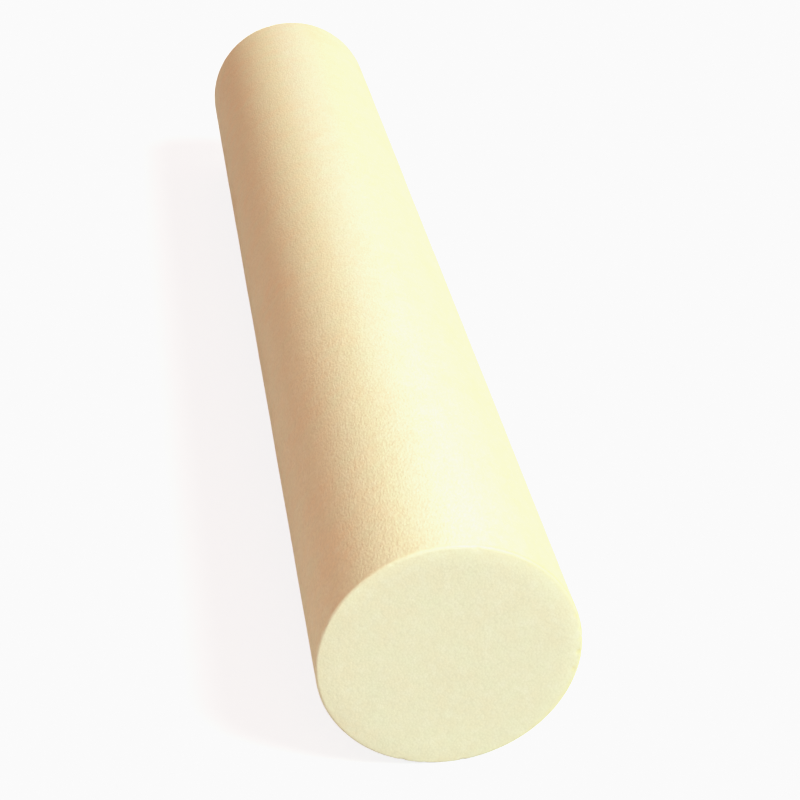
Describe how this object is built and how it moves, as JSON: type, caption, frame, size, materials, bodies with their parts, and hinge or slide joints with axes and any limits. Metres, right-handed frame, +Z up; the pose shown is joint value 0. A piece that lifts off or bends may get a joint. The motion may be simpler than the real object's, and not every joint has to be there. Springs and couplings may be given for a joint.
{
  "type": "foam roller",
  "caption": "Full-round foam exercise and massage roller: a solid foam log in a thin, finely pebbled cream skin with flat ends and slightly rounded rims.",
  "frame": {"origin": "the middle of the roller, on its axis", "axes": "+Y along the roller's axis, from the front end to the rear end; +Z up when it lies on the floor"},
  "size_m": [0.1524, 0.9144, 0.1524],
  "materials": {
    "foam": "matt closed-cell foam, cream",
    "skin": "soft satin, finely pebbled, cream"
  },
  "bodies": {
    "root": {"foam_core": "foam", "side_skin": "skin", "front_end_skin": "skin", "rear_end_skin": "skin"}
  },
  "joints": []
}
